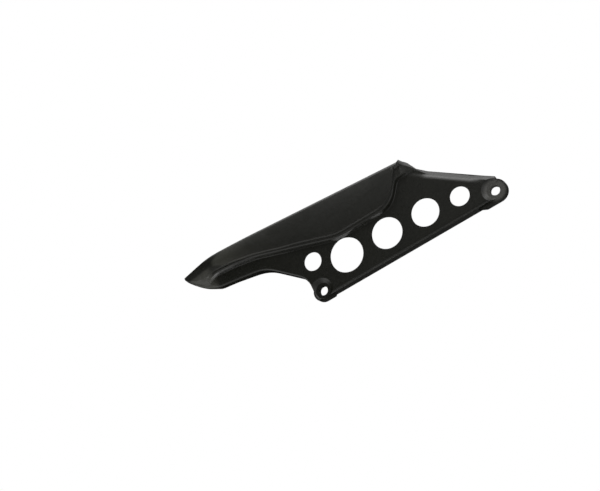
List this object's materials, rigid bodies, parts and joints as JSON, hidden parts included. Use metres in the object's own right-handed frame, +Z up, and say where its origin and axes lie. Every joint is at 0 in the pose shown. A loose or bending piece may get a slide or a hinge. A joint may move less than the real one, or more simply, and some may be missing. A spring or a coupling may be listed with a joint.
{
  "type": "motorcycle chain guard",
  "caption": "One-piece moulded plastic chain guard: side plate with lightening holes and two fixing lugs, a raised housing with a roof over the chain, and a pointed nose.",
  "frame": {"origin": "centre of the front fixing bore, on the outer seat face of its lug", "axes": "+X rearward through the centres of both fixing bores, +Z up as mounted, +Y inboard towards the chain; the outer face looks along -Y"},
  "size_m": [0.3879, 0.0403, 0.1215],
  "materials": {
    "guard_plastic": "satin black moulded plastic"
  },
  "bodies": {
    "root": {"chain_guard": "guard_plastic"}
  },
  "joints": []
}
